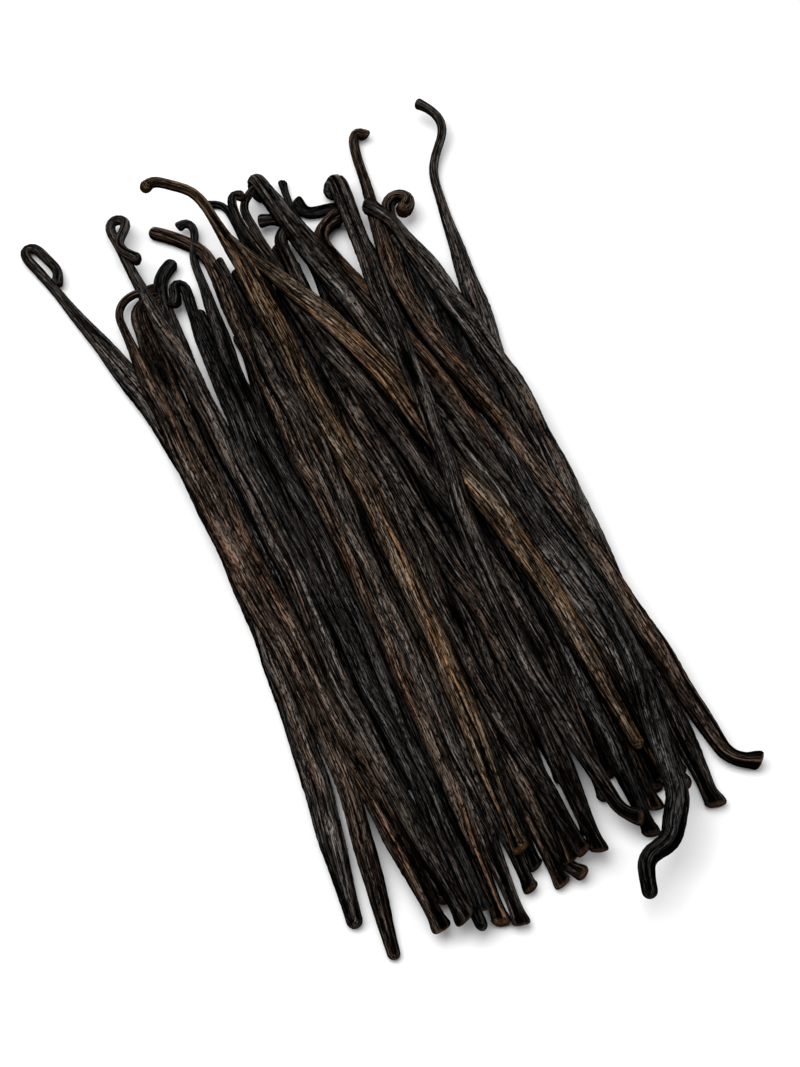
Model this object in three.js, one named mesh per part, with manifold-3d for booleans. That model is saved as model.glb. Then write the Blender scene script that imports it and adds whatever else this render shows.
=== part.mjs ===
// A loose bundle of cured vanilla pods that lies flat on a table, in millimetres, +Z up.
// The pods run along Y, with their stalk ends at +Y and their blossom ends at -Y.
// Each pod is a thin tapered body with a bent stalk. The pods are laid one by one from the bottom up,
// each on the table or on those already there, and are joined with a low core into one solid.
import * as THREE from "three";
import { mergeVertices } from "three/addons/utils/BufferGeometryUtils.js";
import Module from "manifold-3d";

const wasm = await Module();
wasm.setup();

// Driving sizes of a pod.
const FOOT_LENGTH = 22; // over which the body narrows to the blossom end
const FLATNESS = 0.72; // height over width of a body that lies flat
const BUTTON_FLARE = 0.35; // how much wider the cut blossom end is than the body just before it
const STALK_FLARE = 0.25; // the same at the cut end of the stalk
const FLARE_REACH = 1.6; // how fast a flare dies away from its end
const SWELL = 0.06; // uneven width along a body, as a share of it

// How the pile settles.
const STEP = 2.5; // between the stations along Y at which heights are worked out
const DROOP = 0.004; // how fast a pod droops away from what carries it: mm of height per mm squared
const EVENING_PASSES = 12; // rounds of averaging with the neighbours that round off a pod's bends
const SETTLED = 0.72; // pods press into each other, so their centres come this much closer
const PLACES = 5; // places across the pile that fix a pod's line

// Mesh fineness.
const SIDES = 6;
const RING_SPACING = 19; // the most, along a straight stretch
const RING_TURN = THREE.MathUtils.degToRad(45); // the most, along a bend
const HEXAGON_GROWTH = 1.06; // a six-sided section is this much wider, to hold the round one's volume

// The middle of the bundle's outline seen from above, which becomes the origin.
const MIDDLE = { x: 0.77, y: 4.61 };

// The core that fills the middle of the pile, under the pods that show.
const CORE = { width: 58, length: 116, height: 5.5, x: 0, y: -9, corner: 14, chamfer: 2 };

// One pod. x holds its place across the pile at the stalk end, at each quarter and at the blossom end,
// and y its place along the pile at both ends. stalk and tip hold the arcs that bend each end
// beyond the body, as [length, turn in degrees], and a turn is to the left if it is positive.
// roll turns the plane of the stalk's arcs: 0 bends sideways and -90 downwards. rise lifts the stalk
// along its length, so that a loop passes over itself. neck is the stalk's width as a share of the body's,
// and opening the length over which the one widens to the other.
// A pod with a button has a cut blossom end, and one that isn't blunt a flared cut at its stalk end.
function pod(name, x, y, width, shape = {}) {
  const bends = { stalk: [[4, 10]], roll: 0, rise: 0, tip: [] };
  const ends = { neck: 0.5, opening: 26, button: true, blunt: false };
  return { name, x, y, width, ...bends, ...ends, ...shape };
}

// Pods that lie on the table, hidden by the rest: [x at the stalk end, x at the blossom end, y at both].
const HIDDEN_LINES = [
  [-31, -24.5, 46, -68],
  [-21, -21.5, 44, -78],
  [-13, -18, 58, -78],
  [-7, -11, 73, -78],
  [2, -4, 75, -76],
  [10, 5, 74, -78],
  [15, 11, 70, -66],
  [22, 20, 62, -68],
  [30, 28, 58, -75],
  [34, 34, 52, -64],
];

function hiddenPod([head, foot, ...y], index) {
  const drift = 1.5 * Math.sin(index * 2.4);
  const x = Array.from({ length: PLACES }, (_, k) => head + ((foot - head) * k) / (PLACES - 1));
  x[1] += drift;
  x[3] -= drift;
  return pod(`hidden_${index + 1}`, x, y, 4.6);
}

// Every pod, the lowest first.
const PODS = [
  ...HIDDEN_LINES.map(hiddenPod),
  pod("far_left_loop", [-48.4, -37.4, -34.2, -36.2, -41], [93, -80], 5.6, {
    stalk: [[10, 2], [4.8, -178], [7.5, 0], [4, -60]], neck: 0.4, opening: 38, rise: 1, button: false,
  }),
  pod("right_swan_stalk", [45, 40.2, 36.4, 35, 33.5], [86, -74], 5.2, {
    stalk: [[8, -32], [5, 0], [6, 55], [5, 35]], neck: 0.4, opening: 40, rise: 4,
  }),
  pod("right_curl", [31, 25, 25, 29, 30], [77, -74], 4.4, {
    stalk: [[4, 12], [3, -30], [10, -225]], neck: 0.7, rise: 3,
  }),
  pod("dark_club_left", [-26, -27.8, -27.4, -27, -22.5], [78, -82], 4.6, {
    stalk: [[5, -20], [6, -40]], neck: 0.74, opening: 14, blunt: true,
  }),
  pod("under_left", [-18.6, -17, -17, -17, -20], [68, -85], 4.3),
  pod("under_middle", [-7, -5.6, -5.5, -5, -5.2], [74, -87], 4.4),
  pod("brown_foot", [3.6, 0.2, 0.5, 1.4, 1.4], [77, -84.5], 4.5, { tip: [[1.5, 10]] }),
  pod("side_foot", [6, 4, 1.5, 1.2, 3.2], [72, -84], 4.2, { tip: [[5, 48]] }),
  pod("bent_left_stalk", [-2.6, -2.4, -3, -1.6, -2.2], [93, -82], 4.2, {
    stalk: [[5, 5], [4, 75], [1.5, 8]], neck: 0.4, opening: 30,
  }),
  pod("arched_right", [4.4, 4.6, 7, 7, 4.2], [81, -83], 4.4, { stalk: [[4, -60], [3, -20]], neck: 0.7 }),
  pod("straight_stalk", [11.2, 12.6, 11.8, 12, 11], [91, -78], 4.4, {
    stalk: [[4, -5], [5, -8]], neck: 0.38,
  }),
  pod("blunt_hook", [8.2, 14.6, 21.8, 25.3, 26], [86, -80], 4.5, {
    stalk: [[4, 45], [3, 40]], neck: 0.56, opening: 20,
  }),
  pod("level_hook", [22.6, 22.9, 22.3, 22.8, 22.8], [86, -83], 4.5, {
    stalk: [[4, 85], [5, 0], [3, -75], [1.5, 0]], neck: 0.62, opening: 20,
  }),
  pod("arched_brown", [13.8, 22, 27.6, 31, 32.5], [78, -74], 4.6, {
    stalk: [[5, -60], [4, -30]], neck: 0.75,
  }),
  pod("left_brown", [-32.6, -32.8, -30.5, -28.5, -25.6], [75, -87], 5.1, {
    stalk: [[4, -60], [3, -30]], neck: 0.8, opening: 12, blunt: true,
  }),
  pod("left_arc", [-36.9, -36.1, -34.2, -32, -36.2], [76, -88], 4.4, {
    stalk: [[10, -95], [3, 0]], neck: 0.42, button: false,
  }),
  pod("dark_middle", [3, 1.4, 2.3, 3.2, 7.3], [64, -83], 4.6),
  pod("red_foot", [0.1, 1.4, 5.6, 10.8, 10.8], [86, -84], 4.7, {
    stalk: [[5, 8], [5, -50], [4, -15], [5, -130], [4, -10]], neck: 0.42,
  }),
  pod("grey_club", [5.6, 13.8, 23.2, 30, 31.8], [99.5, -77], 5.6, {
    stalk: [[4.5, 155], [2, 0]], roll: -90, neck: 0.72, opening: 20, blunt: true,
  }),
  pod("black_curl_foot", [30.5, 30, 31, 34, 29.9], [70, -79.5], 5, {
    tip: [[4, -30], [6, 8], [4.5, -55], [1.5, 0], [4.5, 66], [5, 4]], button: false,
  }),
  pod("right_edge", [31, 37.4, 39.2, 39.2, 38.2], [76, -77], 5.3, {
    stalk: [[4, 20], [4, 0]], neck: 0.62, opening: 16, tip: [[3, -5], [3, 20]],
  }),
  pod("dark_ring", [-20.4, -21.8, -20, -18.6, -18], [74.2, -91], 5.1, {
    stalk: [[5, -8], [5, 190], [2, 0], [2, -50]], neck: 0.5, opening: 11, rise: 2, button: false,
  }),
  pod("pale_bent_club", [-11.9, -11.5, -11.1, -11.8, -13.4], [84.8, -90], 4.6, {
    stalk: [[6, 38], [10, 14]], neck: 0.68, opening: 16, blunt: true,
  }),
  pod("black_hook", [-15.6, -17.8, -15.4, -15.8, -16.2], [84.5, -88], 4.3, {
    stalk: [[5, -22], [4, 0], [3, 40], [3.5, 140]], neck: 0.44, opening: 22, rise: 2,
  }),
  pod("reddish", [-10.2, -9.2, -8.4, -8.4, -9.8], [78, -91], 4.5),
  pod("striped", [-3, 3.2, 12, 18.4, 17.6], [84.6, -74], 4.7, {
    stalk: [[6, -10], [4, -15], [3, -165]], neck: 0.44, rise: 1,
  }),
  pod("double_loop", [-30, -27.2, -25.2, -24.6, -20.8], [92, -87], 5.4, {
    stalk: [[9, 4], [8.6, -228], [4, 0], [5.5, 75], [3, -10]], neck: 0.42, opening: 30, rise: 4,
  }),
  pod("orange_diagonal", [-6.8, 8.9, 18.4, 24.9, 27.8], [79, -66], 5.5, {
    stalk: [[3, 10]], neck: 0.46, opening: 26, button: false,
  }),
  pod("tan_long_stalk", [-9.5, -5.2, -2.3, -2.7, -4.2], [89.6, -79], 5.6, {
    stalk: [[5, 12], [4, 34], [7, 5], [2.6, 105]], neck: 0.42, opening: 22, rise: 2,
  }),
  pod("tan_hook", [30.8, 25.5, 32, 38.6, 44.4], [100, -73], 4.9, {
    stalk: [[5, -5], [2, -25], [3, -160]], neck: 0.48, opening: 44, rise: 1, tip: [[5, 50], [3, 15]],
  }),
  pod("top_taupe", [23.1, 19.3, 15.8, 13.1, 18], [93, -77], 5.5, {
    stalk: [[3.6, 150], [1, 0]], roll: -65, neck: 0.84, opening: 12, blunt: true, tip: [[4, 45], [1, 0]],
  }),
];

// A smooth value through evenly spaced ones, by Catmull and Rom's rule, for a share from 0 to 1.
function through(values, share) {
  const last = values.length - 1;
  const place = THREE.MathUtils.clamp(share, 0, 1) * last;
  const k = Math.min(Math.floor(place), last - 1);
  const u = place - k;
  const [a, b] = [values[k], values[k + 1]];
  const before = k > 0 ? values[k - 1] : 2 * a - b;
  const after = k + 2 <= last ? values[k + 2] : 2 * b - a;
  const [slopeA, slopeB] = [(b - before) / 2, (after - a) / 2];
  return (
    a + slopeA * u + (3 * (b - a) - 2 * slopeA - slopeB) * u * u + (2 * (a - b) + slopeA + slopeB) * u ** 3
  );
}

const smooth = (share) => THREE.MathUtils.smoothstep(share, 0, 1);
const lengthOf = (arcs) => arcs.reduce((sum, [length]) => sum + length, 0);

// Half the pod's width at a distance from its stalk's cut end, and its height over its width there.
function section(p, distance, total, index) {
  const stalkLength = lengthOf(p.stalk);
  const opened = smooth((distance - stalkLength) / p.opening);
  const left = total - distance;
  const closed = smooth(left / FOOT_LENGTH);
  const swell = Math.sin(distance / 6 + index) + 0.7 * Math.sin(distance / 3.7 + 2 * index);
  const narrowed = p.button ? 0.6 : 0.66;
  let half = (p.width / 2) * (p.neck + (1 - p.neck) * opened);
  half *= narrowed + (1 - narrowed) * closed;
  half *= 1 + (SWELL / 1.7) * swell * opened;
  half *= 1 + (p.blunt ? 0 : STALK_FLARE * Math.exp(-distance / FLARE_REACH));
  half *= 1 + (p.button ? BUTTON_FLARE * Math.exp(-left / FLARE_REACH) : 0);
  return { half, flat: 1 + (FLATNESS - 1) * opened };
}

// The heights of a pod's line at its stations. Each place that carries it lifts it there,
// and it droops away from that place.
function restHeights(stations, supports) {
  let heights = stations.map(({ run }) =>
    Math.max(...supports.map((z, k) => z - DROOP * (run - stations[k].run) ** 2)),
  );
  for (let pass = 0; pass < EVENING_PASSES; pass++) {
    heights = heights.map((z, k) => {
      const [before, after] = [heights[Math.max(k - 1, 0)], heights[Math.min(k + 1, heights.length - 1)]];
      return (before + 2 * z + after) / 4;
    });
  }
  return heights;
}

// A laid pod's place and half sizes where it crosses a line at y, or null beyond its ends.
function crossing(laid, y) {
  const run = (laid.stations[0].y - y) / STEP;
  const last = laid.stations.length - 1;
  if (run < 0 || run > last) return null;
  const k = Math.min(Math.floor(run), last - 1);
  const [a, b] = [laid.stations[k], laid.stations[k + 1]];
  const mix = (key) => a[key] + (b[key] - a[key]) * (run - k);
  return { x: mix("x"), z: mix("z"), half: mix("half"), height: mix("height") };
}

// Lays a pod on the table and on the pods already laid.
function lay(p, index, below) {
  const [top, bottom] = p.y;
  const count = Math.round((top - bottom) / STEP);
  const stalkLength = lengthOf(p.stalk);
  const total = stalkLength + (top - bottom) + lengthOf(p.tip);
  const stations = Array.from({ length: count + 1 }, (_, k) => {
    const { half, flat } = section(p, stalkLength + k * STEP, total, index);
    return { run: k * STEP, x: through(p.x, k / count), y: top - k * STEP, half, height: half * flat };
  });
  const supports = stations.map((station) => {
    let support = station.height;
    for (const other of below) {
      const there = crossing(other, station.y);
      if (!there) continue;
      const apart = Math.abs(there.x - station.x) / (SETTLED * (there.half + station.half));
      if (apart >= 1) continue;
      const lift = SETTLED * (there.height + station.height) * Math.sqrt(1 - apart * apart);
      support = Math.max(support, there.z + lift);
    }
    return support;
  });
  restHeights(stations, supports).forEach((z, k) => (stations[k].z = z));
  return { ...p, index, total, stations };
}

// The points of an end's arcs beyond the body, from the body outwards, 1 mm apart.
function bentEnd(start, heading, arcs, roll, rise) {
  const up = new THREE.Vector3(0, 0, 1);
  const left = new THREE.Vector3().crossVectors(up, heading).normalize();
  const lean = THREE.MathUtils.degToRad(roll);
  const side = left.multiplyScalar(Math.cos(lean)).addScaledVector(up, Math.sin(lean));
  const axis = new THREE.Vector3().crossVectors(heading, side).normalize();
  const points = [];
  const at = start.clone();
  const ahead = heading.clone();
  const whole = lengthOf(arcs);
  for (const [length, turn] of arcs) {
    const pieces = Math.max(1, Math.round(length));
    const angle = THREE.MathUtils.degToRad(turn) / pieces;
    for (let k = 0; k < pieces; k++) {
      ahead.applyAxisAngle(axis, angle / 2);
      at.addScaledVector(ahead, length / pieces);
      at.z += (rise * length) / pieces / whole;
      ahead.applyAxisAngle(axis, angle / 2);
      points.push(at.clone());
    }
  }
  return points;
}

// A laid pod's whole centre line, from the stalk's cut end to the blossom end.
// Both ends go on from the body level or downhill.
function centreLine(laid) {
  const body = laid.stations.map(({ x, y, z }) => new THREE.Vector3(x, y, z));
  const outwards = (a, b) => {
    const heading = new THREE.Vector3().subVectors(a, b);
    return heading.setZ(Math.min(heading.z, 0)).normalize();
  };
  const stalk = bentEnd(body[0], outwards(body[0], body[2]), laid.stalk, laid.roll, laid.rise);
  const tip = bentEnd(body.at(-1), outwards(body.at(-1), body.at(-3)), laid.tip, 0, 0);
  return [...stalk.reverse(), ...body, ...tip];
}

// The points of a line where rings go: closer where it bends.
function ringPlaces(line) {
  const places = [0];
  let [run, turned] = [0, 0];
  for (let k = 1; k < line.length - 1; k++) {
    const before = new THREE.Vector3().subVectors(line[k], line[k - 1]);
    const after = new THREE.Vector3().subVectors(line[k + 1], line[k]);
    run += before.length();
    turned += before.angleTo(after);
    if (run < RING_SPACING && turned < RING_TURN) continue;
    places.push(k);
    [run, turned] = [0, 0];
  }
  places.push(line.length - 1);
  return places;
}

// A closed tapered tube along a laid pod's line, with few sides.
function podSolid(laid) {
  const line = centreLine(laid);
  const floor = (point, height) => Math.max(point.z, height);
  const runs = [0];
  line.forEach((point, k) => k && runs.push(runs[k - 1] + point.distanceTo(line[k - 1])));
  const places = ringPlaces(line);
  const positions = [];
  const index = [];
  const up = new THREE.Vector3(0, 0, 1);
  let side = new THREE.Vector3(1, 0, 0);
  places.forEach((place, ring) => {
    const next = line[Math.min(place + 1, line.length - 1)];
    const last = line[Math.max(place - 1, 0)];
    const ahead = new THREE.Vector3().subVectors(next, last).normalize();
    side = side.addScaledVector(ahead, -side.dot(ahead)).normalize();
    const over = new THREE.Vector3().crossVectors(side, ahead);
    const { half, flat } = section(laid, runs[place], runs.at(-1), laid.index);
    const centre = line[place].clone().setZ(floor(line[place], half * flat));
    for (let k = 0; k < SIDES; k++) {
      const angle = (2 * Math.PI * k) / SIDES;
      const corner = centre
        .clone()
        .addScaledVector(side, HEXAGON_GROWTH * half * Math.cos(angle))
        .addScaledVector(over, HEXAGON_GROWTH * half * flat * Math.sin(angle));
      positions.push(corner.x, corner.y, Math.max(corner.z, 0));
    }
    if (ring === 0) return;
    for (let k = 0; k < SIDES; k++) {
      const [a, b] = [(ring - 1) * SIDES + k, (ring - 1) * SIDES + ((k + 1) % SIDES)];
      index.push(a, a + SIDES, b, b, a + SIDES, b + SIDES);
    }
  });
  for (const [ring, turn] of [[0, 1], [places.length - 1, -1]]) {
    for (let k = 1; k < SIDES - 1; k++) {
      const fan = [ring * SIDES, ring * SIDES + k, ring * SIDES + k + 1];
      index.push(...(turn > 0 ? fan : fan.reverse()));
    }
  }
  return toSolid(positions, index);
}

function toSolid(positions, index) {
  const mesh = { numProp: 3, vertProperties: new Float32Array(positions), triVerts: new Uint32Array(index) };
  return new wasm.Manifold(new wasm.Mesh(mesh));
}

// A low slab with round corners and bevelled edges.
function coreSolid({ width, length, height, corner, chamfer, x, y }) {
  const [right, back] = [width / 2 - corner, length / 2 - corner];
  const quarter = Math.PI / 2;
  const outline = new THREE.Shape()
    .absarc(right, back, corner, 0, quarter)
    .absarc(-right, back, corner, quarter, 2 * quarter)
    .absarc(-right, -back, corner, 2 * quarter, 3 * quarter)
    .absarc(right, -back, corner, 3 * quarter, 4 * quarter);
  const slab = new THREE.ExtrudeGeometry(outline, {
    depth: height - 2 * chamfer,
    curveSegments: 3,
    bevelSegments: 1,
    bevelThickness: chamfer,
    bevelSize: chamfer,
    bevelOffset: -chamfer,
  });
  slab.translate(x, y, chamfer);
  slab.deleteAttribute("normal");
  slab.deleteAttribute("uv");
  const merged = mergeVertices(slab);
  return toSolid(merged.attributes.position.array, merged.index.array);
}

// The biggest piece of a solid, which leaves out loose scraps and sealed hollows.
function biggestPiece(solid) {
  return solid.decompose().reduce((a, b) => (a.volume() > b.volume() ? a : b));
}

function vanillaPods() {
  const laidPods = [];
  PODS.forEach((p, index) => laidPods.push(lay(p, index, laidPods)));
  const podSolids = laidPods.map(podSolid);
  const heap = biggestPiece(wasm.Manifold.union([coreSolid(CORE), ...podSolids]));
  const { vertProperties, triVerts } = heap.getMesh();
  const geometry = new THREE.BufferGeometry()
    .setAttribute("position", new THREE.BufferAttribute(vertProperties, 3))
    .setIndex(new THREE.BufferAttribute(triVerts, 1))
    .translate(-MIDDLE.x, -MIDDLE.y, 0);
  geometry.computeVertexNormals();
  const skin = new THREE.MeshStandardMaterial({ color: 0x2a1c15, roughness: 0.55, metalness: 0 });
  const mesh = new THREE.Mesh(geometry, skin);
  mesh.name = "vanilla_pods";
  return mesh;
}

const bundle = new THREE.Group();
bundle.add(vanillaPods());

export default bundle;
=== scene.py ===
"""A loose bundle of cured vanilla pods, dressed pod by pod over the fixed frame."""

import math
from dataclasses import dataclass

import bpy
import numpy as np
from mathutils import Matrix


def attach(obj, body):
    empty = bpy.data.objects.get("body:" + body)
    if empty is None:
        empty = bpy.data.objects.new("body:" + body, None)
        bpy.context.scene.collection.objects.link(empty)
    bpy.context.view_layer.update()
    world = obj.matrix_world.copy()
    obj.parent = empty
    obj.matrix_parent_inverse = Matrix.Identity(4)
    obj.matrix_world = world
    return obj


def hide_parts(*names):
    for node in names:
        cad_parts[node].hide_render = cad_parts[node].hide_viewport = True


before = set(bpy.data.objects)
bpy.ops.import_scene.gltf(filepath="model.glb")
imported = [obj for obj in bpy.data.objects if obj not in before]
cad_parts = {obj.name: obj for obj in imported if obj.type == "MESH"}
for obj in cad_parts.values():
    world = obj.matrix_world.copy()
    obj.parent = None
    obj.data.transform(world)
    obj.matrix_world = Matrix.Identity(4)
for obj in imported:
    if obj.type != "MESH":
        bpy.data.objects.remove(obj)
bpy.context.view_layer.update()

MM = 0.001
NODE = "vanilla_pods"

# Driving sizes of a pod, in millimetres or as shares of its width, as in the frame.
FOOT_LENGTH = 22  # over which the body narrows to the blossom end
CUT_FOOT = 0.6  # the width to which it narrows there if the end is cut, as a share of the body's
ROUND_FOOT = 0.66  # the same if the end is rounded
FLATNESS = 0.72  # height over width of a body that lies flat
BUTTON_FLARE = 0.35  # how much wider the cut blossom end is than the body just before it
STALK_FLARE = 0.25  # the same at the cut end of the stalk
FLARE_REACH = 1.6  # how fast a flare dies away from its end
SWELL = 0.06  # uneven width along a body, as a share of it
LONG_SWELL, SHORT_SWELL = 6, 3.7  # lengths over which its two waves turn by one radian
SHORT_SHARE = 0.7  # the short wave's strength, as a share of the long one's

# How the pile settles, as in the frame.
STEP = 2.5  # between the stations along Y at which heights are worked out
DROOP = 0.004  # how fast a pod droops away from what carries it: mm of height per mm squared
EVENING_PASSES = 12  # rounds of averaging with the neighbours that round off a pod's bends
SETTLED = 0.72  # pods press into each other, so their centres come this much closer
PLACES = 5  # places across the pile that fix a pod's line
MIDDLE = (0.77, 4.61)  # the middle of the bundle's outline seen from above, which is the origin

# Fineness of a pod's skin: corners around, and millimetres between rings.
FINE = (52, 1.0)
PLAIN = (32, 1.6)
ROUNDING_PASSES = 3  # rounds of averaging that take the corners off a pod's line
LOWEST = 0.02  # height over the table under which no point of a pod goes

# Folds along a pod: how many ridges go around it, and their depth as a share of its half width.
FOLDS = ((2, 0.07), (3, 0.1), (5, 0.1), (8, 0.09), (14, 0.08))
MEAN_RIDGE = 0.64  # a ridge's mean height, taken off it so that the folds don't widen a pod
FOLD_WANDER = 100  # length over which a fold drifts around the pod
FOLD_DRIFT = 0.6  # how far it drifts in radians, over the root of the number of ridges
FOLD_BREAK = 22  # length over which a fold deepens and fades
FOLD_DEPTH, FOLD_FADE = 0.65, 0.35  # its mean strength, and how much that deepens and fades
FOLD_LIMITS = (0.1, 1.2)  # its least and its greatest strength
FADE_LEAN = 4  # how much further along a fold fades on one side of the pod, in millimetres
END_FOLDS = 0.6  # depth of the folds at an end, as a share of that of the middle
CALM_END = 14  # length over which they get shallower towards an end

# How the folds crowd together: times around a pod, by how many radians, and over what length,
# as a multiple of the fold's. CROWD_TURN is how far round the crowding moves, in radians.
CROWDING = ((2, 0.25, 2), (3, 0.15, 1))
CROWD_TURN = 1.5

# Unevenness of a pod as a whole.
WAVE_LENGTHS = (0.6, 1.0, 1.7)  # parts of a wave that doesn't repeat, as shares of its length
TWIST = 0.22  # how far a pod turns about its own line, in radians
TWIST_LENGTH = 90  # length over which it does
LINE_WANDER = 0.2  # how far a pod strays sideways from its laid line
UPWARDS = 0.5  # how far it strays up and down, as a share of that
STRAY_LENGTH = 34  # length over which it strays
STEADY_END = 30  # length over which it stops straying towards an end
ROUGHNESS = 0.018  # small random unevenness of the skin, as a share of the half width
END_SHADE = 0.08  # how much darker the skin gets towards the blossom end, on the scale of the folds
STALK_SHADE = 0.5  # how much of that the stalk end gets
DARK_END = 40  # length over which both ends darken
GRAIN_STEP = 61  # keeps each pod's pattern apart from its neighbours'
CAP_SEED = 1000  # keeps the random draws of the ends apart from those of the body

# The rings that close an end: their size as a share of the last ring's, and how far out they lie,
# as a share of half its width.
CUT_CAP = ((1.03, 0.2), (1.0, 0.42), (0.84, 0.64), (0.55, 0.74), (0.24, 0.7))
BLUNT_CAP = ((0.93, 0.32), (0.76, 0.62), (0.5, 0.84), (0.22, 0.95))
CUT_TILT = 0.3  # how far a cut leans, as a share of the half width
CUT_FACE = 0.9  # rings of a cut that are smaller than this share lie in its warm face
STALK_TINT = 0.3  # how warm a stalk's cut is, as a share of a blossom end's

# The low near-black core under the pods is painted shade: it blacks out the gaps of the pile, and stays
# inside the frame's.
CORE = {"width": 48, "length": 84, "height": 1.6, "x": 0, "y": -14}
CORE_SHADE_COLOUR = (0.003, 0.0025, 0.002)
CORE_ROUGHNESS = 0.8

# Patterns in the skin: features to the millimetre across and along a pod.
DRIFTS = (0.2, 0.025)
ROPES = (0.9, 0.02)
THREADS = (2.6, 0.08)
CRACKS = (3.4, 0.55)
PATCHES = (1.2, 0.025)
MOTTLE = (0.4, 0.07)
DRIFT_REACH = 1.2  # how far the ropes, threads and cracks drift, in millimetres

# Where a measure of the skin takes effect: from, to, and the effect at both if it isn't 0 and 1.
# Painted shade: the first and third ranges give the fold hollows and a pod's sides the darkest colour, and
# leave its upward-facing top lit.
FOLD_SHADE_RANGE = (-0.13, 0.035)
ON_ROPES = (0.34, 0.46, 0.15, 1.0)
LIT_ON_TOP = (0.1, 0.85)
ON_THREADS = (0.4, 0.5)
OFF_CRACKS = (0.4, 0.5, 0.04, 1.0)
ON_MOTTLE = (0.34, 0.6, 0.55, 1.0)
# Paler threads, painted lit: they show only on a pod's upward-facing crests.
LIT_THREADS = (0.5, 0.6)
STREAK_EDGE = 0.08  # how softly a warm streak begins
SKIN_ROUGHNESS = (0.0, 1.0, 0.7, 0.45)
SKIN_SHINE = 0.35
CUT_WARMTH = 0.28  # how warm the face of a cut is
THREAD_RELIEF = 1.2  # how far threads and cracks stand out, against ropes
RELIEF_DEPTH = 0.3  # depth of the fine relief, in millimetres

# The studio: the floor, and each lamp's name, place, size and power.
FLOOR_SIZE = 4
FLOOR_COLOUR = (0.95, 0.95, 0.95)
FLOOR_ROUGHNESS = 0.9
WORLD_STRENGTH = 0.34
LAMPS = (
    ("key_light", (-0.25, 0.2, 0.85), 0.9, 9.5),
    ("fill_light", (0.5, -0.35, 0.7), 0.6, 1.5),
)

# The photograph's view.
CAMERA_AZIMUTH = -22
CAMERA_ELEVATION = 60
CAMERA_DISTANCE = 620
CAMERA_TARGET = (-MIDDLE[0], -MIDDLE[1], 6)
PHOTO_SIZE = (800, 1067)
TARGET_PIXEL = (395, 530)
PIXELS_PER_MM = 4.6
SENSOR = 36


@dataclass
class Pod:
    """x holds a pod's place across the pile at the stalk end, at each quarter and at the blossom end,
    and y its place along the pile at both ends. stalk and tip hold the arcs that bend each end beyond
    the body, as (length, turn in degrees), and a turn is to the left if it is positive. roll turns the
    plane of the stalk's arcs: 0 bends sideways and -90 downwards. rise lifts the stalk along its length,
    so that a loop passes over itself. neck is the stalk's width as a share of the body's, and opening
    the length over which the one widens to the other. A pod with a button has a cut blossom end, and
    one that isn't blunt a flared cut at its stalk end."""

    name: str
    kind: str
    x: tuple
    y: tuple
    width: float
    stalk: tuple = ((4, 10),)
    neck: float = 0.5
    opening: float = 26
    roll: float = 0
    rise: float = 0
    tip: tuple = ()
    button: bool = True
    blunt: bool = False


# Pods that lie on the table, hidden by the rest.
HIDDEN_SKIN = "black"
HIDDEN_WIDTH = 4.6
HIDDEN_STRAY = 1.5  # how far they stray from a straight line at their quarters
HIDDEN_TURN = 2.4  # radians between one pod's stray and the next one's

# Their lines, as (x at the stalk end, x at the blossom end, y at both).
HIDDEN_LINES = (
    (-31, -24.5, 46, -68),
    (-21, -21.5, 44, -78),
    (-13, -18, 58, -78),
    (-7, -11, 73, -78),
    (2, -4, 75, -76),
    (10, 5, 74, -78),
    (15, 11, 70, -66),
    (22, 20, 62, -68),
    (30, 28, 58, -75),
    (34, 34, 52, -64),
)


def hidden_pod(index, head, foot, *y):
    stray = HIDDEN_STRAY * math.sin(index * HIDDEN_TURN)
    x = [head + (foot - head) * k / (PLACES - 1) for k in range(PLACES)]
    x[1] += stray
    x[-2] -= stray
    return Pod(f"hidden_{index + 1}", "hidden", tuple(x), y, HIDDEN_WIDTH)


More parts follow.
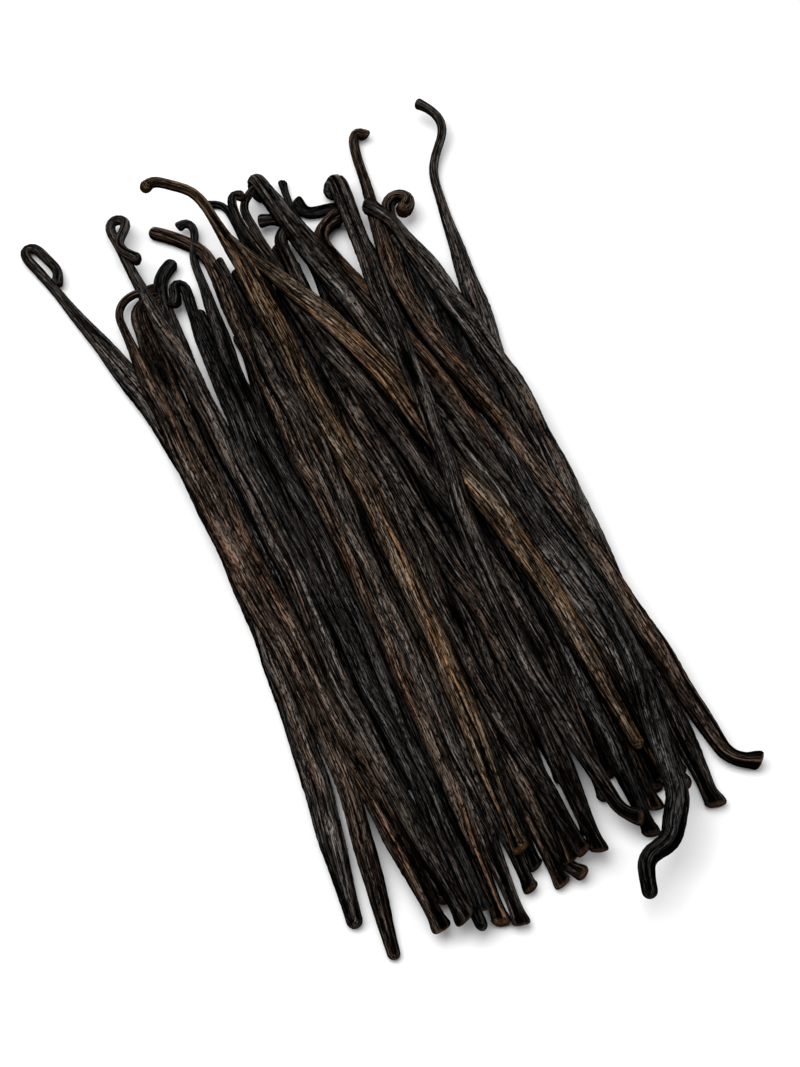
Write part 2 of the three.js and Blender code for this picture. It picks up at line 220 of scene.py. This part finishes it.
# Every pod, the lowest first.
PODS = [hidden_pod(index, *line) for index, line in enumerate(HIDDEN_LINES)] + [
    Pod("far_left_loop", "grey", (-48.4, -37.4, -34.2, -36.2, -41), (93, -80), 5.6,
        stalk=((10, 2), (4.8, -178), (7.5, 0), (4, -60)), neck=0.4, opening=38, rise=1, button=False),
    Pod("right_swan_stalk", "grey", (45, 40.2, 36.4, 35, 33.5), (86, -74), 5.2,
        stalk=((8, -32), (5, 0), (6, 55), (5, 35)), neck=0.4, opening=40, rise=4),
    Pod("right_curl", "brown", (31, 25, 25, 29, 30), (77, -74), 4.4,
        stalk=((4, 12), (3, -30), (10, -225)), neck=0.7, rise=3),
    Pod("dark_club_left", "black", (-26, -27.8, -27.4, -27, -22.5), (78, -82), 4.6,
        stalk=((5, -20), (6, -40)), neck=0.74, opening=14, blunt=True),
    Pod("under_left", "dark", (-18.6, -17, -17, -17, -20), (68, -85), 4.3),
    Pod("under_middle", "dark", (-7, -5.6, -5.5, -5, -5.2), (74, -87), 4.4),
    Pod("brown_foot", "brown", (3.6, 0.2, 0.5, 1.4, 1.4), (77, -84.5), 4.5, tip=((1.5, 10),)),
    Pod("side_foot", "brown", (6, 4, 1.5, 1.2, 3.2), (72, -84), 4.2, tip=((5, 48),)),
    Pod("bent_left_stalk", "black", (-2.6, -2.4, -3, -1.6, -2.2), (93, -82), 4.2,
        stalk=((5, 5), (4, 75), (1.5, 8)), neck=0.4, opening=30),
    Pod("arched_right", "dark", (4.4, 4.6, 7, 7, 4.2), (81, -83), 4.4,
        stalk=((4, -60), (3, -20)), neck=0.7),
    Pod("straight_stalk", "black", (11.2, 12.6, 11.8, 12, 11), (91, -78), 4.4,
        stalk=((4, -5), (5, -8)), neck=0.38),
    Pod("blunt_hook", "dark", (8.2, 14.6, 21.8, 25.3, 26), (86, -80), 4.5,
        stalk=((4, 45), (3, 40)), neck=0.56, opening=20),
    Pod("level_hook", "black", (22.6, 22.9, 22.3, 22.8, 22.8), (86, -83), 4.5,
        stalk=((4, 85), (5, 0), (3, -75), (1.5, 0)), neck=0.62, opening=20),
    Pod("arched_brown", "brown", (13.8, 22, 27.6, 31, 32.5), (78, -74), 4.6,
        stalk=((5, -60), (4, -30)), neck=0.75),
    Pod("left_brown", "brown", (-32.6, -32.8, -30.5, -28.5, -25.6), (75, -87), 5.1,
        stalk=((4, -60), (3, -30)), neck=0.8, opening=12, blunt=True),
    Pod("left_arc", "brown", (-36.9, -36.1, -34.2, -32, -36.2), (76, -88), 4.4,
        stalk=((10, -95), (3, 0)), neck=0.42, button=False),
    Pod("dark_middle", "dark", (3, 1.4, 2.3, 3.2, 7.3), (64, -83), 4.6),
    Pod("red_foot", "dark", (0.1, 1.4, 5.6, 10.8, 10.8), (86, -84), 4.7,
        stalk=((5, 8), (5, -50), (4, -15), (5, -130), (4, -10)), neck=0.42),
    Pod("grey_club", "grey", (5.6, 13.8, 23.2, 30, 31.8), (99.5, -77), 5.6,
        stalk=((4.5, 155), (2, 0)), roll=-90, neck=0.72, opening=20, blunt=True),
    Pod("black_curl_foot", "black", (30.5, 30, 31, 34, 29.9), (70, -79.5), 5,
        tip=((4, -30), (6, 8), (4.5, -55), (1.5, 0), (4.5, 66), (5, 4)), button=False),
    Pod("right_edge", "grey", (31, 37.4, 39.2, 39.2, 38.2), (76, -77), 5.3,
        stalk=((4, 20), (4, 0)), neck=0.62, opening=16, tip=((3, -5), (3, 20))),
    Pod("dark_ring", "black", (-20.4, -21.8, -20, -18.6, -18), (74.2, -91), 5.1,
        stalk=((5, -8), (5, 190), (2, 0), (2, -50)), neck=0.5, opening=11, rise=2, button=False),
    Pod("pale_bent_club", "brown", (-11.9, -11.5, -11.1, -11.8, -13.4), (84.8, -90), 4.6,
        stalk=((6, 38), (10, 14)), neck=0.68, opening=16, blunt=True),
    Pod("black_hook", "black", (-15.6, -17.8, -15.4, -15.8, -16.2), (84.5, -88), 4.3,
        stalk=((5, -22), (4, 0), (3, 40), (3.5, 140)), neck=0.44, opening=22, rise=2),
    Pod("reddish", "grey", (-10.2, -9.2, -8.4, -8.4, -9.8), (78, -91), 4.5),
    Pod("striped", "dark", (-3, 3.2, 12, 18.4, 17.6), (84.6, -74), 4.7,
        stalk=((6, -10), (4, -15), (3, -165)), neck=0.44, rise=1),
    Pod("double_loop", "grey", (-30, -27.2, -25.2, -24.6, -20.8), (92, -87), 5.4,
        stalk=((9, 4), (8.6, -228), (4, 0), (5.5, 75), (3, -10)), neck=0.42, opening=30, rise=4),
    Pod("orange_diagonal", "tan", (-6.8, 8.9, 18.4, 24.9, 27.8), (79, -66), 5.5,
        stalk=((3, 10),), neck=0.46, opening=26, button=False),
    Pod("tan_long_stalk", "tan", (-9.5, -5.2, -2.3, -2.7, -4.2), (89.6, -79), 5.6,
        stalk=((5, 12), (4, 34), (7, 5), (2.6, 105)), neck=0.42, opening=22, rise=2),
    Pod("tan_hook", "brown", (30.8, 25.5, 32, 38.6, 44.4), (100, -73), 4.9,
        stalk=((5, -5), (2, -25), (3, -160)), neck=0.48, opening=44, rise=1, tip=((5, 50), (3, 15))),
    Pod("top_taupe", "grey", (23.1, 19.3, 15.8, 13.1, 18), (93, -77), 5.5,
        stalk=((3.6, 150), (1, 0)), roll=-65, neck=0.84, opening=12, blunt=True, tip=((4, 45), (1, 0))),
]


def through(values, share):
    """Smooth values through evenly spaced ones, by Catmull and Rom's rule, for shares from 0 to 1."""
    values = np.asarray(values, float)
    first, last = 2 * values[0] - values[1], 2 * values[-1] - values[-2]
    padded = np.concatenate([[first], values, [last]])
    place = np.clip(share, 0, 1) * (len(values) - 1)
    k = np.minimum(place.astype(int), len(values) - 2)
    u = place - k
    before, a, b, after = (padded[k + step] for step in range(4))
    slope_a, slope_b = (b - before) / 2, (after - a) / 2
    bend = (3 * (b - a) - 2 * slope_a - slope_b) * u**2 + (2 * (a - b) + slope_a + slope_b) * u**3
    return a + slope_a * u + bend


def smooth(share):
    share = np.clip(share, 0, 1)
    return share * share * (3 - 2 * share)


def length_of(arcs):
    return sum(length for length, _ in arcs)


def unit(vector):
    return vector / np.linalg.norm(vector)


def section(p, distance, total, index):
    """Half the pod's width at distances from its stalk's cut end, and its height over its width there."""
    opened = smooth((distance - length_of(p.stalk)) / p.opening)
    left = total - distance
    closed = smooth(left / FOOT_LENGTH)
    long_wave = np.sin(distance / LONG_SWELL + index)
    short_wave = np.sin(distance / SHORT_SWELL + 2 * index)
    swell = long_wave + SHORT_SHARE * short_wave
    half = (p.width / 2) * (p.neck + (1 - p.neck) * opened)
    foot = CUT_FOOT if p.button else ROUND_FOOT
    half = half * (foot + (1 - foot) * closed)
    half = half * (1 + SWELL / (1 + SHORT_SHARE) * swell * opened)
    if not p.blunt:
        half = half * (1 + STALK_FLARE * np.exp(-distance / FLARE_REACH))
    if p.button:
        half = half * (1 + BUTTON_FLARE * np.exp(-left / FLARE_REACH))
    return half, 1 + (FLATNESS - 1) * opened


def rest_heights(run, supports):
    """Each place that carries a pod lifts it there, and it droops away from that place."""
    apart = run[:, None] - run[None, :]
    heights = (supports[None, :] - DROOP * apart**2).max(1)
    for _ in range(EVENING_PASSES):
        before = np.concatenate([heights[:1], heights[:-1]])
        after = np.concatenate([heights[1:], heights[-1:]])
        heights = (before + 2 * heights + after) / 4
    return heights


@dataclass
class Laid:
    """A pod that has found its place: its stations from the stalk end, and its half sizes there."""

    pod: Pod
    index: int
    total: float
    x: np.ndarray
    y: np.ndarray
    half: np.ndarray
    height: np.ndarray
    z: np.ndarray = None

    def crossing(self, y, key):
        """One of the pod's values where it crosses lines at y, and no number beyond its ends."""
        values = getattr(self, key)
        return np.interp(-y, -self.y, values, left=np.nan, right=np.nan)


def lay(p, index, below):
    """Lays a pod on the table and on the pods already laid."""
    top, bottom = p.y
    count = math.floor((top - bottom) / STEP + 0.5)
    run = np.arange(count + 1) * STEP
    stalk_length = length_of(p.stalk)
    total = stalk_length + (top - bottom) + length_of(p.tip)
    half, flat = section(p, stalk_length + run, total, index)
    laid = Laid(p, index, total, through(p.x, run / (count * STEP)), top - run, half, half * flat)
    support = laid.height.copy()
    for other in below:
        sideways = np.abs(other.crossing(laid.y, "x") - laid.x)
        apart = sideways / (SETTLED * (other.crossing(laid.y, "half") + laid.half))
        heights = other.crossing(laid.y, "height") + laid.height
        lift = SETTLED * heights * np.sqrt(np.maximum(1 - apart**2, 0))
        reach = np.where(apart < 1, other.crossing(laid.y, "z") + lift, 0)
        support = np.maximum(support, reach)
    laid.z = rest_heights(run, support)
    return laid


def turned(vector, axis, angle):
    """A vector turned about a unit axis at right angles to it."""
    return vector * math.cos(angle) + np.cross(axis, vector) * math.sin(angle)


def bent_end(start, heading, arcs, roll, rise):
    """The points of an end's arcs beyond the body, from the body outwards, 1 mm apart."""
    up = np.array([0.0, 0.0, 1.0])
    left = unit(np.cross(up, heading))
    lean = math.radians(roll)
    side = left * math.cos(lean) + up * math.sin(lean)
    axis = unit(np.cross(heading, side))
    whole = length_of(arcs)
    points = []
    at, ahead = start.copy(), heading.copy()
    for length, turn in arcs:
        pieces = max(1, math.floor(length + 0.5))
        angle = math.radians(turn) / pieces
        for _ in range(pieces):
            ahead = turned(ahead, axis, angle / 2)
            at = at + ahead * (length / pieces) + up * (rise * length / pieces / whole)
            ahead = turned(ahead, axis, angle / 2)
            points.append(at)
    return points


def centre_line(laid):
    """A laid pod's whole centre line. Both ends go on from the body level or downhill."""
    body = list(np.stack([laid.x, laid.y, laid.z], 1))

    def outwards(a, b):
        heading = a - b
        heading[2] = min(heading[2], 0)
        return unit(heading)

    p = laid.pod
    stalk = bent_end(body[0], outwards(body[0], body[2]), p.stalk, p.roll, p.rise)
    tip = bent_end(body[-1], outwards(body[-1], body[-3]), p.tip, 0, 0)
    return np.array(stalk[::-1] + body + tip)


def runs_of(line):
    steps = np.linalg.norm(np.diff(line, axis=0), axis=1)
    return np.concatenate([[0], np.cumsum(steps)])


def evenly_spaced(line, spacing):
    """The line again with even steps, and with its corners rounded off."""
    runs = runs_of(line)
    at = np.linspace(0, runs[-1], round(runs[-1] / spacing) + 1)
    even = np.stack([np.interp(at, runs, line[:, k]) for k in range(3)], 1)
    for _ in range(ROUNDING_PASSES):
        even[1:-1] = (even[:-2] + 2 * even[1:-1] + even[2:]) / 4
    return even


def slow_wave(run, rng, wavelength):
    """A smooth wave from about -1 to 1 that doesn't repeat."""
    lengths = wavelength * np.array(WAVE_LENGTHS)
    phases = rng.uniform(0, 2 * math.pi, len(WAVE_LENGTHS))
    return sum(np.sin(2 * math.pi * run / length + phase) for length, phase in zip(lengths, phases)) / 2


def folds(theta, run, rng):
    """Lengthwise folds as a share of the half width: round ridges that wander, with sharp creases."""
    bent = theta
    for times, strength, slowness in CROWDING:
        wave = slow_wave(run, rng, slowness * FOLD_WANDER)
        bent = bent + strength * np.sin(times * theta + CROWD_TURN * wave)
    height = np.zeros_like(bent)
    for ridges, depth in FOLDS:
        drift = slow_wave(run, rng, FOLD_WANDER) * FOLD_DRIFT / math.sqrt(ridges)
        ridge = np.abs(np.sin(ridges / 2 * (bent + drift) + rng.uniform(0, math.pi)))
        around = np.sin(2 * theta + rng.uniform(0, 2 * math.pi))
        strength = FOLD_DEPTH + FOLD_FADE * slow_wave(run + FADE_LEAN * around, rng, FOLD_BREAK)
        height += depth * np.clip(strength, *FOLD_LIMITS) * (ridge - MEAN_RIDGE)
    return height


def pod_rings(laid, around, spacing):
    """The rings of a pod's skin, with what the ends and the colours need to know about them."""
    rng = np.random.default_rng(laid.index)
    line = evenly_spaced(centre_line(laid), spacing)
    runs = runs_of(line)
    total = runs[-1]
    middle = smooth(runs / STEADY_END) * smooth((total - runs) / STEADY_END)
    line[:, 0] += LINE_WANDER * middle * slow_wave(runs, rng, STRAY_LENGTH)
    line[:, 2] += UPWARDS * LINE_WANDER * middle * slow_wave(runs, rng, STRAY_LENGTH)
    half, flat = section(laid.pod, runs * laid.total / total, laid.total, laid.index)
    line[:, 2] = np.maximum(line[:, 2], half * flat)

    angle = np.arange(around) * 2 * math.pi / around
    run = runs[:, None]
    theta = angle[None, :] + TWIST * slow_wave(run, rng, TWIST_LENGTH)
    relief = folds(theta, run, rng) + ROUGHNESS * rng.standard_normal(theta.shape)
    calm = END_FOLDS + (1 - END_FOLDS) * smooth(np.minimum(runs, total - runs) / CALM_END)
    radius = half[:, None] * (1 + relief * calm[:, None])

    ahead = np.gradient(line, axis=0)
    ahead /= np.linalg.norm(ahead, axis=1)[:, None]
    side = np.array([1.0, 0.0, 0.0])
    places = np.empty((len(runs), around, 3))
    facing_up = np.empty((len(runs), around))
    for ring, direction in enumerate(ahead):
        side = unit(side - direction * (side @ direction))
        over = np.cross(side, direction)
        across = np.cos(angle)[:, None] * side
        raised = np.sin(angle)[:, None] * over
        places[ring] = line[ring] + radius[ring][:, None] * (across + flat[ring] * raised)
        facing_up[ring] = (across + raised)[:, 2]
    grain = np.empty_like(places)
    grain[:, :, 0] = np.cos(theta) * laid.pod.width / 2
    grain[:, :, 1] = np.sin(theta) * laid.pod.width / 2
    grain[:, :, 2] = run + GRAIN_STEP * laid.index
    dark_ends = STALK_SHADE * (1 - smooth(runs / DARK_END)) + 1 - smooth((total - runs) / DARK_END)
    shade = relief - END_SHADE * dark_ends[:, None]
    # How far a point faces up is kept for the material, which paints a pod's top lit and its sides in
    # shade.
    tone = np.stack([shade, facing_up, np.zeros_like(relief)], 2)
    return places, grain, tone, line, ahead, half


def cap_rings(places, grain, tone, centre, outwards, half, cut, tint, rng):
    """The rings that close an end, from its last ring to its middle, as (places, grain, tone)."""
    around = len(places)
    angle = np.arange(around) * 2 * math.pi / around
    lean = CUT_TILT * np.cos(angle + rng.uniform(0, 2 * math.pi)) if cut else np.zeros(around)
    for share, reach in (CUT_CAP if cut else BLUNT_CAP):
        out = (reach + lean * share) * half
        ring = centre + (places - centre) * share + out[:, None] * outwards
        face = (1 - share) * half
        shade = tone * [share, 1, 0] + [0, 0, tint if cut and share < CUT_FACE else 0]
        yield ring, grain * [share, share, 1] + [0, 0, face], shade


def pod_mesh(laid, around, spacing):
    """A closed pod: its points, its faces, and the grain and tone at each point."""
    places, grain, tone, line, ahead, half = pod_rings(laid, around, spacing)
    rng = np.random.default_rng(CAP_SEED + laid.index)
    points, grains, tones = [places.reshape(-1, 3)], [grain.reshape(-1, 3)], [tone.reshape(-1, 3)]
    here = np.arange(around)
    beside = (here + 1) % around
    faces = []

    def join(a, b):
        faces.extend(np.stack([a, b, b[beside], a[beside]], 1).tolist())

    for ring in range(len(places) - 1):
        join(ring * around + here, (ring + 1) * around + here)
    count = len(places) * around
    stalk_end = (0, -ahead[0], not laid.pod.blunt, STALK_TINT)
    blossom_end = (len(places) - 1, ahead[-1], laid.pod.button, 1)
    for end, outwards, cut, tint in (stalk_end, blossom_end):
        turn = 1 if end else -1
        before = end * around + here[::turn]
        last_ring = (places[end], grain[end], tone[end], line[end])
        for cap in cap_rings(*last_ring, outwards, half[end], cut, tint, rng):
            for kept, new in zip((points, grains, tones), cap):
                kept.append(new)
            join(before, count + here[::turn])
            before = count + here[::turn]
            count += around
        for kept, new in zip((points, grains, tones), cap):
            kept.append(new.mean(0)[None, :])
        faces.extend(np.stack([before, np.full(around, count), before[beside]], 1).tolist())
        count += 1
    points = np.concatenate(points)
    points[:, 2] = np.maximum(points[:, 2], LOWEST)
    return points, faces, np.concatenate(grains), np.concatenate(tones)


def joined_piece(name, pods, around, spacing, material):
    """One mesh of several pods, with the grain and the tone kept on its points."""
    points, faces, grains, tones = [], [], [], []
    count = 0
    for laid in pods:
        place, skin, grain, tone = pod_mesh(laid, around, spacing)
        points.append(place)
        grains.append(grain)
        tones.append(tone)
        faces += [[corner + count for corner in face] for face in skin]
        count += len(place)
    points = (np.concatenate(points) - [*MIDDLE, 0]) * MM
    mesh = bpy.data.meshes.new(name)
    mesh.from_pydata(points.tolist(), [], faces)
    for key, values in (("grain", grains), ("tone", tones)):
        attribute = mesh.attributes.new(key, "FLOAT_VECTOR", "POINT")
        attribute.data.foreach_set("vector", np.concatenate(values).ravel())
    mesh.polygons.foreach_set("use_smooth", np.ones(len(mesh.polygons), bool))
    mesh.materials.append(material)
    mesh.update()
    piece = bpy.data.objects.new(name, mesh)
    bpy.context.collection.objects.link(piece)
    return piece


def core_piece(material):
    """The low near-black core, painted shade that closes the gaps in the middle of the pile."""
    middle = ((CORE["x"] - MIDDLE[0]) * MM, (CORE["y"] - MIDDLE[1]) * MM, CORE["height"] / 2 * MM)
    bpy.ops.mesh.primitive_cube_add(size=1, location=middle)
    piece = bpy.context.object
    piece.name = "painted_shade_core"
    piece.scale = (CORE["width"] * MM, CORE["length"] * MM, CORE["height"] * MM)
    bpy.ops.object.transform_apply(location=False, scale=True)
    piece.data.materials.append(material)
    return piece


class Nodes:
    """Short ways to add and join shader nodes. The mix node's sockets for colours share their names
    with others, so they are known by number."""

    MIX_SHARE, MIX_A, MIX_B, MIX_RESULT = 0, 6, 7, 2

    def __init__(self, name):
        self.material = bpy.data.materials.new(name)
        self.material.use_nodes = True
        self.tree = self.material.node_tree
        self.shader = self.tree.nodes["Principled BSDF"]

    def add(self, kind, links=None, **settings):
        node = self.tree.nodes.new(kind)
        for key, value in settings.items():
            setattr(node, key, value)
        for socket, source in (links or {}).items():
            if isinstance(source, bpy.types.NodeSocket):
                self.tree.links.new(source, node.inputs[socket])
            else:
                node.inputs[socket].default_value = source
        return node

    def attribute(self, name, output):
        return self.add("ShaderNodeAttribute", attribute_name=name).outputs[output]

    def stretched(self, vector, across, along):
        """The grain's coordinates, so many features to the millimetre across and along a pod."""
        scale = (across, across, along)
        node = self.add("ShaderNodeVectorMath", {0: vector, 1: scale}, operation="MULTIPLY")
        return node.outputs["Vector"]

    def noise(self, vector, detail, roughness=0.55):
        links = {"Vector": vector, "Scale": 1.0, "Detail": detail, "Roughness": roughness}
        return self.add("ShaderNodeTexNoise", links).outputs["Fac"]

    def ranged(self, value, low, high, out_low=0.0, out_high=1.0):
        links = {"Value": value, "From Min": low, "From Max": high, "To Min": out_low, "To Max": out_high}
        return self.add("ShaderNodeMapRange", links, interpolation_type="SMOOTHSTEP").outputs["Result"]

    def mixed(self, share, a, b):
        links = {self.MIX_SHARE: share, self.MIX_A: a, self.MIX_B: b}
        return self.add("ShaderNodeMix", links, data_type="RGBA").outputs[self.MIX_RESULT]

    def maths(self, operation, a, b):
        return self.add("ShaderNodeMath", {0: a, 1: b}, operation=operation).outputs["Value"]

    def product(self, a, b):
        return self.maths("MULTIPLY", a, b)


def skin_material(name, shade_and_cracks, body, ridge, streak, streak_from):
    """Cured pod skin: fine cracks, and painted shade in the creases and down the sides, between long
    threads, which are painted lit and paler on the upward-facing tops of the ridges and here and there have
    warm streaks. The four colours are for these, from the painted shade and cracks to the streaks, and
    streak_from is higher where streaks are rarer."""
    n = Nodes(name)
    tone = n.add("ShaderNodeSeparateXYZ", {0: n.attribute("tone", "Vector")})
    relief, facing_up, cut = tone.outputs["X"], tone.outputs["Y"], tone.outputs["Z"]
    straight = n.attribute("grain", "Vector")
    drift = n.noise(n.stretched(straight, *DRIFTS), detail=1)
    sideways = n.product(drift, DRIFT_REACH)
    shifted = n.add("ShaderNodeVectorMath", {0: straight, 1: sideways}, operation="ADD")
    grain = shifted.outputs["Vector"]
    ropes = n.noise(n.stretched(grain, *ROPES), detail=2)
    threads = n.noise(n.stretched(grain, *THREADS), detail=3, roughness=0.7)
    cracks = n.noise(n.stretched(grain, *CRACKS), detail=3, roughness=0.75)
    patches = n.noise(n.stretched(straight, *PATCHES), detail=3, roughness=0.6)
    mottle = n.noise(n.stretched(straight, *MOTTLE), detail=2)

    # Painted shade and light: the fold hollows and the sides of a pod take the darkest colour, and only its
    # upward-facing crests keep the body colour, the paler threads and the streaks.
    raised = n.product(n.ranged(relief, *FOLD_SHADE_RANGE), n.ranged(ropes, *ON_ROPES))
    lit_crest = n.product(raised, n.ranged(facing_up, *LIT_ON_TOP))
    whole = n.product(n.ranged(threads, *ON_THREADS), n.ranged(cracks, *OFF_CRACKS))
    skin = n.product(n.product(whole, lit_crest), n.ranged(mottle, *ON_MOTTLE))
    # The paler threads are painted highlight on the lit crests, laid over the threads' own pattern.
    lit_threads = n.product(skin, n.ranged(threads, *LIT_THREADS))
    warm = n.product(skin, n.ranged(patches, streak_from, streak_from + STREAK_EDGE))
    colour = n.mixed(skin, (*shade_and_cracks, 1), (*body, 1))
    colour = n.mixed(lit_threads, colour, (*ridge, 1))
    colour = n.mixed(warm, colour, (*streak, 1))
    colour = n.mixed(n.product(cut, CUT_WARMTH), colour, (*streak, 1))
    n.tree.links.new(colour, n.shader.inputs["Base Color"])

    n.tree.links.new(n.ranged(skin, *SKIN_ROUGHNESS), n.shader.inputs["Roughness"])
    n.tree.links.new(n.product(skin, SKIN_SHINE), n.shader.inputs["Specular IOR Level"])

    height = n.maths("ADD", n.product(whole, THREAD_RELIEF), ropes)
    bump = n.add("ShaderNodeBump", {"Strength": 1.0, "Distance": RELIEF_DEPTH * MM, "Height": height})
    n.tree.links.new(bump.outputs["Normal"], n.shader.inputs["Normal"])
    return n.material


def plain_material(name, colour, roughness):
    n = Nodes(name)
    n.shader.inputs["Base Color"].default_value = (*colour, 1)
    n.shader.inputs["Roughness"].default_value = roughness
    return n.material


# The skin of each kind of pod. Its first colour is painted shade for the fold hollows and sides and also
# the fine cracks, and its third the paler threads, painted lit on the crests.
SKINS = {
    "black": dict(shade_and_cracks=(0.0008, 0.0007, 0.0007), body=(0.016, 0.0148, 0.0138), ridge=(0.08, 0.073, 0.067),
                  streak=(0.07, 0.038, 0.022), streak_from=0.6),
    "dark": dict(shade_and_cracks=(0.0009, 0.0007, 0.0006), body=(0.032, 0.0245, 0.019), ridge=(0.12, 0.092, 0.072),
                 streak=(0.12, 0.054, 0.026), streak_from=0.57),
    "grey": dict(shade_and_cracks=(0.0012, 0.001, 0.0008), body=(0.061, 0.051, 0.042), ridge=(0.17, 0.14, 0.12),
                 streak=(0.14, 0.07, 0.036), streak_from=0.57),
    "brown": dict(shade_and_cracks=(0.0012, 0.0009, 0.0007), body=(0.062, 0.041, 0.0275), ridge=(0.17, 0.12, 0.088),
                  streak=(0.18, 0.078, 0.034), streak_from=0.53),
    "tan": dict(shade_and_cracks=(0.0014, 0.001, 0.0008), body=(0.08, 0.054, 0.035), ridge=(0.23, 0.17, 0.11),
                streak=(0.28, 0.13, 0.045), streak_from=0.49),
}


def make_pods():
    laid_pods = []
    for index, p in enumerate(PODS):
        laid_pods.append(lay(p, index, laid_pods))
    pieces = []
    for kind, colours in SKINS.items():
        material = skin_material(f"{kind}_pod_skin", **colours)
        shown = [laid for laid in laid_pods if laid.pod.kind == kind]
        pieces.append(joined_piece(f"{kind}_pods", shown, *FINE, material))
        if kind == HIDDEN_SKIN:
            hidden = [laid for laid in laid_pods if laid.pod.kind == "hidden"]
            pieces.append(joined_piece("lowest_pods", hidden, *PLAIN, material))
    pieces.append(core_piece(plain_material("core_shadow", CORE_SHADE_COLOUR, CORE_ROUGHNESS)))
    for piece in pieces:
        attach(piece, "root")
        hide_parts(NODE)


def make_floor():
    bpy.ops.mesh.primitive_plane_add(size=FLOOR_SIZE, location=(0, 0, 0))
    floor = bpy.context.object
    floor.name = "floor"
    floor.data.materials.append(plain_material("pale_floor", FLOOR_COLOUR, FLOOR_ROUGHNESS))


def make_light():
    world = bpy.data.worlds.new("studio")
    bpy.context.scene.world = world
    world.use_nodes = True
    background = world.node_tree.nodes["Background"]
    background.inputs["Color"].default_value = (1, 1, 1, 1)
    background.inputs["Strength"].default_value = WORLD_STRENGTH
    for name, place, size, power in LAMPS:
        light = bpy.data.lights.new(name, "AREA")
        light.size = size
        light.energy = power
        lamp = bpy.data.objects.new(name, light)
        lamp.location = place
        direction = -lamp.location
        lamp.rotation_euler = direction.to_track_quat("-Z", "Y").to_euler()
        bpy.context.collection.objects.link(lamp)


def make_camera():
    a, e = math.radians(CAMERA_AZIMUTH), math.radians(CAMERA_ELEVATION)
    back = np.array([math.sin(a) * math.cos(e), -math.cos(a) * math.cos(e), math.sin(e)])
    data = bpy.data.cameras.new("camera")
    camera = bpy.data.objects.new("camera", data)
    bpy.context.collection.objects.link(camera)
    camera.location = (np.array(CAMERA_TARGET) + back * CAMERA_DISTANCE) * MM
    camera.rotation_euler = (math.pi / 2 - e, 0, a)
    width, height = PHOTO_SIZE
    data.sensor_fit = "AUTO"
    data.sensor_width = SENSOR
    data.lens = PIXELS_PER_MM * CAMERA_DISTANCE * SENSOR / height
    data.shift_x = (width / 2 - TARGET_PIXEL[0]) / height
    data.shift_y = (TARGET_PIXEL[1] - height / 2) / height
    data.clip_start = 0.01
    bpy.context.scene.camera = camera


make_pods()
make_floor()
make_light()
make_camera()
bpy.context.scene.view_settings.view_transform = "Standard"
